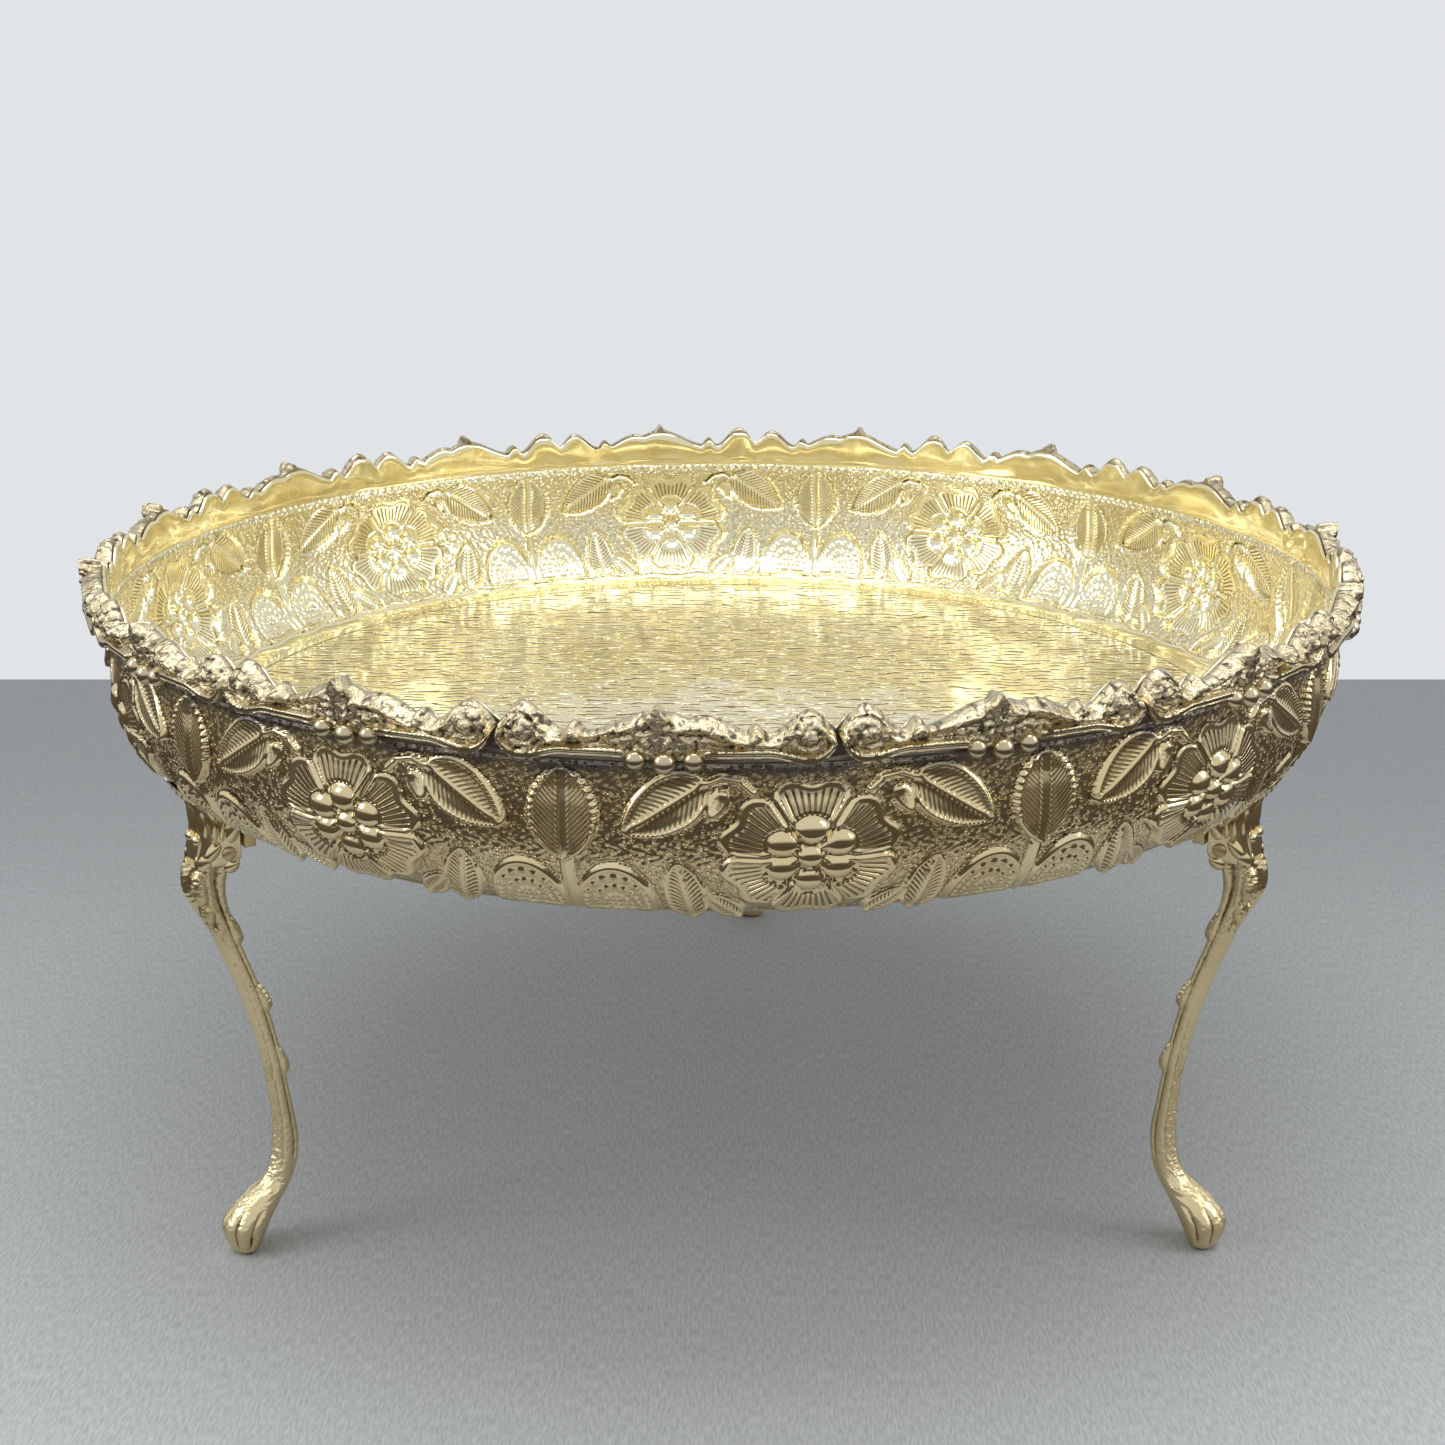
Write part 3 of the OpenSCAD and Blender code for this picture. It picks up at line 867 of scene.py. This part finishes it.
def segment_points(along, around, index):
    """Points of one casting, with masks of its hollows and its grain."""
    share, front_part, back_part = along * 2 - 1, 0.7, 0.3
    front = around < front_part
    climb = np.where(front, around / front_part, (1 - around) / back_part)
    foot, top, end = segment_outline(share)
    up = foot + climb * (top - foot)
    depth = segment_front(share, up, foot, top)
    off_foot = np.minimum(up - foot, 0.25 + end + 0.5 * np.abs(up - 4))
    balls = 1 - soft_step(np.abs(share) * half_run / MM, 7.6, 8.6)
    lip = (1 - soft_step(off_foot, 1.9, 2.3)) * (1 - balls)
    grain = np.array([
        noise.noise(Vector((s * 30, u * 0.85, index * 7.0))) + 0.5 * noise.noise(Vector((s * 75, u * 2.1, index)))
        for s, u in zip(share, up)
    ])
    ticks = 0.12 * np.cos(share * half_run / MM * 2 * math.pi / 1.1)
    depth = (depth + 0.52 * grain) * (1 - lip) + (5.3 + ticks - 0.25 * ridge(off_foot - 0.9, 0.4)) * lip
    depth -= 0.5 * ridge(off_foot - 2.5, 0.35) * (1 - balls)
    knob = dome(np.hypot((share + 0.04) * half_run / MM, up - 10.6), 2.6)
    plain = depth.copy()
    depth -= 1.9 * (1 - soft_step(top - up, 0.2, 1.9)) * (1 - knob) * front
    close = np.minimum(np.minimum(up - foot, top - up), end + 0.15)
    bevel = np.clip(close / 0.55, 0, 1)
    depth = np.clip(depth, 1.2, 5.95) * (0.5 + 0.5 * np.sqrt(bevel * (2 - bevel)))
    hollow = soft_step(3.3 - plain, -0.5, 1.2) * front * (1 - lip)
    pits = 0.7 * soft_step(-grain, 0.0, 0.45) * (1 - lip)
    hollow = np.maximum(hollow, np.where(front, pits, 0.55))
    return share, up, np.where(front, depth, 0), hollow, np.where(front, 1 - lip, 0.4)


# share along a segment, radius and drop below the border's line, in mm but the first
foot_balls = ((-0.17, 2.35, 0.5), (0, 2.6, 1.1), (0.17, 2.35, 0.5))
ball_r = collar_r + 3.3 * MM


def make_border_segment(index):
    along, around = ((190, 46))
    bearing = first_crest + index * segment_turn
    half_angle = segment_turn / 2 - half_gap / collar_r

    def place(a, b):
        share, up, out, hollow, grainy = segment_points(a, b, index)
        turn = share * half_angle
        r = collar_r + out * MM
        return np.stack([r * np.cos(turn), r * np.sin(turn), border_z + up * MM], -1), hollow, grainy

    bm = rolled_skin(around, along, place)
    for share, size, drop in foot_balls:
        turn = share * half_angle
        spot = Vector((ball_r * math.cos(turn), ball_r * math.sin(turn), border_z - drop * MM))
        place_ball = Matrix.Translation(spot)
        bmesh.ops.create_uvsphere(bm, u_segments=24, v_segments=14, radius=size * MM, matrix=place_ball)
    bmesh.ops.transform(bm, matrix=turned(bearing), verts=bm.verts)
    piece = finish_piece(f"border_{index + 1:02d}", bm, "tray", [border_brass], sharp=70)
    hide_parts(f"border_segment_{index + 1:02d}")
    return piece


border = [make_border_segment(i) for i in range(segment_count)]

# %% [markdown]
# ## The cast legs
# A cabriole leg swells at the knee, sweeps in, thins to the ankle and ends in a pad foot. It is a stack of
# ovals, so the same rolled grid makes it: one way up the leg and one way round it. The ovals of the frame are
# joined by a smooth curve, and the carving is then laid on as small hills and grooves: two flutes down each
# side, three bosses on the inner edge, two ovals each side of a swollen knee, and toes on the foot.

# %% Stations of the leg
# height as a share of the pin's, offset outward of the pin, half depth, half width, all in mm but the first
leg_stations = np.array([
    (0.000, 2.0, 3.2, 4.2), (0.029, 2.0, 4.8, 5.8), (0.075, 1.0, 6.6, 6.6), (0.121, -3.0, 6.3, 5.5),
    (0.158, -8.0, 4.3, 4.1), (0.205, -10.6, 3.5, 3.5), (0.267, -11.6, 3.3, 3.0), (0.346, -11.1, 2.7, 2.7),
    (0.472, -9.3, 2.5, 2.6), (0.577, -6.8, 2.7, 2.7), (0.671, -3.8, 2.7, 2.8), (0.754, -0.4, 2.9, 3.2),
    (0.828, 2.7, 3.5, 4.0), (0.901, 4.9, 4.4, 4.8), (0.950, 4.9, 5.3, 5.1), (0.985, 3.8, 6.1, 5.2)
])
leg_tall = 119  # mm from the table to the pin, for the carving
pin_place = Vector(legs["leg_left_body"]["pos_m"])
pin_r, pin_z = pin_place.xy.length, pin_place.z


def leg_station(share):
    """The smooth curve through the stations, at a share of the way along their list."""
    last = len(leg_stations) - 1
    at = np.clip(share, 0, 1) * last
    i = np.minimum(at.astype(int), last - 1)
    t = (at - i)[:, None]
    p, q, r, s = (leg_stations[np.clip(i + k, 0, last)] for k in (-1, 0, 1, 2))
    return 0.5 * (
        2 * q + (r - p) * t + (2 * p - 5 * q + 4 * r - s) * t ** 2 + (3 * q - p - 3 * r + s) * t ** 3
    )


def held(share, low, high, fade=0.03):
    return soft_step(share, low - fade, low + fade) * (1 - soft_step(share, high - fade, high + fade))


def leg_carving(up, turn, size):
    """How far the carving stands off the plain oval, in mm. turn is 0 outward and pi inward."""
    side = np.abs(turn)
    out = np.zeros(up.shape)
    for groove, deep in ((66, 0.3), (112, 0.45)):
        out -= deep * ridge((side - math.radians(groove)) * size, 0.5) * held(up, 0.2, 0.9)
    out += 0.5 * ridge(side * size, 0.75) * held(up, 0.14, 0.78)
    for middle in (0.463, 0.63, 0.81):
        lean = (up - middle) / 0.036
        step = dome(lean, 1) * (1 - 0.5 * np.clip(lean, -1, 1))
        ribs = 0.22 * np.cos((up - middle) * leg_tall * 2 * math.pi / 1.5) * (middle < 0.7)
        out += (1.5 + ribs) * step * ridge((math.pi - side) * size, 2.6)
    knee = held(up, 0.86, 1.1, 0.09)
    out += 0.5 * np.cos(side * 5.2 + 9 * (up - 0.9)) * knee
    out += 1.3 * held(up, 0.87, 0.985, 0.06) * (1 - soft_step(side, 0.6, 1.8))
    for middle, tall in ((0.925, 5.0), (0.86, 3.2)):
        boss = np.hypot((up - middle) * leg_tall / tall, (side - 0.85) * size / 2.0)
        out += 0.8 * dome(boss, 1) - 0.4 * ridge(boss - 1.15, 0.16)
    toes = np.abs(np.sin(side * 3.9 + 0.4)) ** 0.6
    foot = held(up, 0.02, 0.105, 0.02) * (1 - soft_step(side, 1.5, 2.0))
    out += (1.1 * toes - 0.75) * foot
    out += 0.5 * ridge((up - 0.142) * leg_tall, 1.0) * (1 - soft_step(side, 1.2, 1.8))
    return out


def leg_points(along, around):
    station = leg_station(along)
    turn = (around * 2 - 1) * math.pi
    up, size = station[:, 0], (station[:, 2] + station[:, 3]) / 2
    carving = leg_carving(up, turn, size)
    strip = held(up, 0.1, 0.5, 0.05) * (1 - soft_step(np.abs(turn), 0.7, 1.3))
    strip = np.maximum(strip, held(up, 0.8, 0.97) * (1 - soft_step(np.abs(np.abs(turn) - 0.85) * size, 1.4, 2.2)))
    grain = np.array([
        noise.noise(Vector((u * 150, math.cos(t) * 4, math.sin(t) * 4))) for u, t in zip(up, turn)
    ])
    carving += (0.1 + 0.3 * strip) * grain * soft_step(up, 0.0, 0.02)
    carving -= 0.7 * (1 - soft_step(up, -0.001, 0.012))
    c, s = np.cos(turn), np.sin(turn)
    square = 1 - 0.22 * held(up, 0.18, 0.86)
    x = pin_r / MM + station[:, 1] + (station[:, 2] + carving) * np.sign(c) * np.abs(c) ** square
    y = (station[:, 3] + carving) * np.sign(s) * np.abs(s) ** square
    hollow = soft_step(-carving, 0.05, 0.6) * 0.8
    grainy = np.clip(0.25 + 0.75 * strip + 0.5 * held(up, -0.1, 0.1), 0, 1)
    return np.stack([x * MM, y * MM, up * pin_z], -1), hollow, grainy


# %% The head of a leg and its leaf
def plate_of(bm, outline, low, high, soft):
    """A flat plate from a side view in mm, between two distances across, with softened edges."""
    corners = [bm.verts.new((pin_r + x * MM, low * MM, pin_z + z * MM)) for x, z in outline]
    face = bm.faces.new(corners)
    made = bmesh.ops.extrude_face_region(bm, geom=[face])["geom"]
    lifted = [g for g in made if isinstance(g, bmesh.types.BMVert)]
    bmesh.ops.translate(bm, verts=lifted, vec=(0, (high - low) * MM, 0))
    rim = {e for v in corners + lifted for e in v.link_edges}
    ease_edges(bm, [e for e in rim if e.is_valid and e.calc_face_angle(0) > 0.3], soft * MM, 3)


knee_z = -(1 - leg_stations[-1][0]) * pin_z / MM
cheek_outline = [
    (-3.5, -1.2), (-3.5, 9.2), (-2.5, 11.0), (-0.9, 11.6), (3.4, 11.6), (4.6, 13.0), (6.0, 14.1), (7.4, 15.0),
    (8.6, 15.4), (7.2, 11.5), (6.8, 7.6), (7.6, 3.4), (8.8, -0.5), (9.0, knee_z - 1.5), (-1.6, knee_z - 1.5),
    (-2.8, -2.6)
]
web_outline = [
    (3.9, 1.0), (3.9, 12.0), (6.0, 14.1), (7.4, 15.0), (8.6, 15.4), (7.4, 11.5), (7.0, 7.6), (7.8, 3.4),
    (8.8, -0.5), (9.0, knee_z - 1.5), (4.4, knee_z - 1.5), (4.9, -0.5)
]


# middle outward, across and up from the pin, half sizes along the same three, and lean, in mm and degrees
head_lobes = [
    ((-1.3, 4.2, 6.6), (2.4, 2.0, 4.4), -8), ((1.9, 4.5, 8.0), (1.2, 1.7, 4.8), 6),
    ((4.0, 4.3, 8.8), (1.2, 1.9, 5.6), 10), ((6.2, 3.7, 9.0), (1.3, 1.9, 6.0), 6),
    ((7.0, 1.4, 9.6), (1.2, 1.5, 5.8), 4), ((7.4, 2.3, 4.4), (1.5, 2.2, 1.6), 20),
    ((4.2, 4.6, 1.2), (2.0, 1.4, 3.4), -35),
    ((-0.6, 4.2, -3.6), (2.4, 1.5, 2.2), 30), ((6.6, 4.2, -1.6), (2.4, 1.5, 3.2), 12)
]


def add_lobe(bm, middle, size, lean):
    """One carved swelling of the head, as an egg-shaped hill sunk in its plates."""
    place = Matrix.Translation(Vector((pin_r, 0, pin_z)) + Vector(middle) * MM)
    shape = place @ Matrix.Rotation(math.radians(lean), 4, "Y") @ Matrix.Diagonal((*(Vector(size) * MM), 1))
    bmesh.ops.create_uvsphere(bm, u_segments=24, v_segments=16, radius=1, matrix=shape)


def leaf_points(along, around):
    """The leaf that rests on the wall: its front bulges and is veined, and its back follows the wall."""
    front = around < 0.5
    across = np.where(front, around * 4 - 1, 3 - around * 4)
    run = (-1.0 + 18.0 * along) * MM
    half = 5.9 * (1 - np.clip(along, 0, 1) ** 2.2) ** 0.75
    swell = dome(across, 1)
    vein = 0.22 * np.cos((along * 18 - 2.2 * np.abs(across)) * 3.6) * soft_step(1 - np.abs(across), 0.1, 0.3)
    rib = 0.55 * ridge(across, 0.16) * (1 - along)
    out = np.where(front, 0.5 + 1.25 * swell + (vein + rib) * swell, 0.45)
    out = 0.45 + (out - 0.45) * (1 - 0.75 * soft_step(along, 0.55, 1.0))
    curl = 0.3 * soft_step(along, 0.72, 1.0)
    turn = across * half * MM / (floor_r + 8 * MM)
    points = raise_sheet(turn, run, (out + curl) * MM)
    return points, np.where(front, soft_step(-vein, 0, 0.3) * 0.5, 0.3), np.full(along.shape, 0.3)


def make_leg(side):
    body = f"leg_{side}_body"
    along, around = ((300, 80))
    bm = rolled_skin(around, along, leg_points)
    head = bmesh.new()
    for low, high in ((-5.2, -2.25), (2.25, 5.2)):
        plate_of(head, cheek_outline, low, high, 0.7)
    plate_of(head, web_outline, -4.9, 4.9, 0.5)
    for (x, y, z), size, lean in head_lobes:
        for mirror in (1, -1):
            add_lobe(head, (x, mirror * y, z), size, lean)
    bmesh.ops.recalc_face_normals(head, faces=head.faces)
    merge_in(bm, mesh_of(head, "head"))
    merge_in(bm, mesh_of(rolled_skin(40, 48, leaf_points), "leaf"))
    bmesh.ops.transform(bm, matrix=turned(leg_bearings[body]), verts=bm.verts)
    piece = finish_piece(f"cast_leg_{side}", bm, body, [leg_brass], sharp=60)
    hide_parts(f"leg_{side}")
    return piece


leg_sides = ("left", "right", "back")
cast_legs = [make_leg(side) for side in leg_sides]

# %% [markdown]
# ## Hinge pins and brackets
# Each leg turns on a short pin with small domed heads. Half of the pin's outline, spun round its own
# axis, makes a closed pin in one step. The bracket is filed from bar: a plate that is soldered under the
# tray, a stop block and a round-ended tongue, each with its corners eased.

# %% Hinges
pin_across = Matrix.Translation((pin_r, 0, pin_z)) @ Matrix.Rotation(math.pi / 2, 4, "X")


def make_pin(side):
    bm = bmesh.new()
    half, head, shaft, swell = 5.35, 1.9, 1.5, 0.5
    arc = [(head * math.cos(a), half + swell * math.sin(a)) for a in np.linspace(0, math.pi / 2, 7)]
    outline = [(shaft, 0.0), (shaft, half), (head - 0.1, half)] + arc
    outline = [(r, -z) for r, z in reversed(outline[1:])] + outline
    spin_outline(bm, [(r * MM, 0, z * MM) for r, z in outline], 40)
    bmesh.ops.transform(bm, matrix=turned(leg_bearings[f"leg_{side}_body"]) @ pin_across, verts=bm.verts)
    piece = finish_piece(f"hinge_pin_{side}", bm, "tray", [hinge_brass], sharp=50)
    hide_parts(f"pin_{side}")
    return piece


def add_block(bm, low, high, soft):
    """A box between two corners in mm from the pin, with eased edges."""
    low, high = Vector(low) * MM, Vector(high) * MM
    size = Matrix.Diagonal((*(high - low), 1))
    place = Matrix.Translation(Vector((pin_r, 0, pin_z)) + (low + high) / 2)
    block = bmesh.ops.create_cube(bm, size=1, matrix=place @ size)["verts"]
    ease_edges(bm, {e for v in block for e in v.link_edges}, soft * MM, 2)


def make_bracket(side):
    bm = bmesh.new()
    add_block(bm, (-7.5, -5.2, 12.2), (3.5, 5.2, 13.2), 0.3)
    add_block(bm, (-7.5, -5.2, 0.6), (-4.1, 5.2, 12.9), 0.4)
    add_block(bm, (-4.9, -2.0, 0.6), (3.15, 2.0, 12.9), 0.25)
    disc = bmesh.ops.create_cone(
        bm, cap_ends=True, segments=48, radius1=4.2 * MM, radius2=4.2 * MM, depth=4 * MM, matrix=pin_across
    )["verts"]
    ease_edges(bm, {e for v in disc for e in v.link_edges if e.calc_face_angle(0) > 1}, 0.25 * MM, 2)
    bmesh.ops.recalc_face_normals(bm, faces=bm.faces)
    bmesh.ops.transform(bm, matrix=turned(leg_bearings[f"leg_{side}_body"]), verts=bm.verts)
    piece = finish_piece(f"hinge_bracket_{side}", bm, "tray", [hinge_brass], sharp=50)
    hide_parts(f"bracket_{side}")
    return piece


hinges = [make(side) for make in (make_pin, make_bracket) for side in leg_sides]
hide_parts("tray_pan")

# %% [markdown]
# ## The table and the light
# Brass shows what stands around it, so the studio matters as much as the metal. The tray stands on a pale
# grey table top, and the pale room shows beyond the table's back edge. A dark ring-shaped card lies round the
# tray, out of the camera's sight, as a photographer's black flag does. It is what the metal mirrors in its
# downward slopes, and without it the relief would melt into one pale tone.

# %% Table top
def add_stage(name, bm, material):
    stage = add_object(name, mesh_of(bm, name))
    stage.data.materials.append(material)
    return stage


def make_table():
    material, tree, shader, place = new_material("table_top", metal=0)
    brushed = noise_field(tree, place, 300, 3, 0.6, stretch=(5, 0.9, 1))
    speckle = smooth_mask(tree, brushed, 0.25, 0.75)
    near_grey = mixed(tree, speckle, (0.35, 0.362, 0.366), (0.49, 0.502, 0.506))
    # The table is painted darker towards its back edge: painted shade of the room beyond, mixed in by the distance
    # back.
    back_painted_shade_grey = mixed(tree, speckle, (0.21, 0.218, 0.22), (0.26, 0.268, 0.27))
    grey = mixed(tree, smooth_mask(tree, split_axes(tree, place)["Y"], -0.25, 0.4), near_grey, back_painted_shade_grey)
    paint(tree, shader, grey, 0.6, brushed, 0.03 * MM)
    shader.inputs["Specular IOR Level"].default_value = 0
    bm = bmesh.new()
    half_table, back_edge = 3, 0.48
    bmesh.ops.create_grid(bm, x_segments=8, y_segments=8, size=half_table)
    bmesh.ops.translate(bm, verts=bm.verts, vec=(0, back_edge - half_table, 0))
    return add_stage("table", bm, material)


def make_flag():
    """A dark ring that only the metal sees."""
    material, tree, shader, place = new_material("dark_card", metal=0)
    weave = noise_field(tree, place, 400, 2)
    paint(tree, shader, mixed(tree, weave, (0.035, 0.026, 0.018), (0.06, 0.045, 0.03)), 0.9)
    bm = bmesh.new()
    for radius in (285 * MM, 1100 * MM):
        bmesh.ops.create_circle(bm, segments=96, radius=radius)
    bmesh.ops.bridge_loops(bm, edges=bm.edges[:])
    bmesh.ops.translate(bm, verts=bm.verts, vec=(0, 0, 4 * MM))
    card = add_stage("dark_card", bm, material)
    card.visible_camera = card.visible_shadow = card.visible_diffuse = False
    return card


table, dark_card = make_table(), make_flag()


# %% Lights
def add_softbox(name, place, target, size, power):
    light = bpy.data.lights.new(name, "AREA")
    light.shape, light.size, light.size_y = "RECTANGLE", size[0], size[1]
    light.energy = power
    lamp = add_object(name, light)
    lamp.location = place
    lamp.rotation_mode = "QUATERNION"
    lamp.rotation_quaternion = (Vector(target) - Vector(place)).to_track_quat("-Z", "Y")


add_softbox("overhead", (0, -0.1, 1.5), (0, -0.05, 0.15), (1.4, 0.8), 11)
add_softbox("left", (-1.4, -0.5, 0.9), (0, 0, 0.15), (0.7, 0.9), 7)
add_softbox("right", (1.4, -0.3, 0.8), (0, 0, 0.15), (0.6, 0.9), 5)

world = bpy.data.worlds.new("studio")
bpy.context.scene.world = world
world.use_nodes = True
background = world.node_tree.nodes["Background"].inputs
background["Color"].default_value = (0.82, 0.84, 0.86, 1)
background["Strength"].default_value = 0.92
bpy.context.scene.view_settings.view_transform = "Standard"
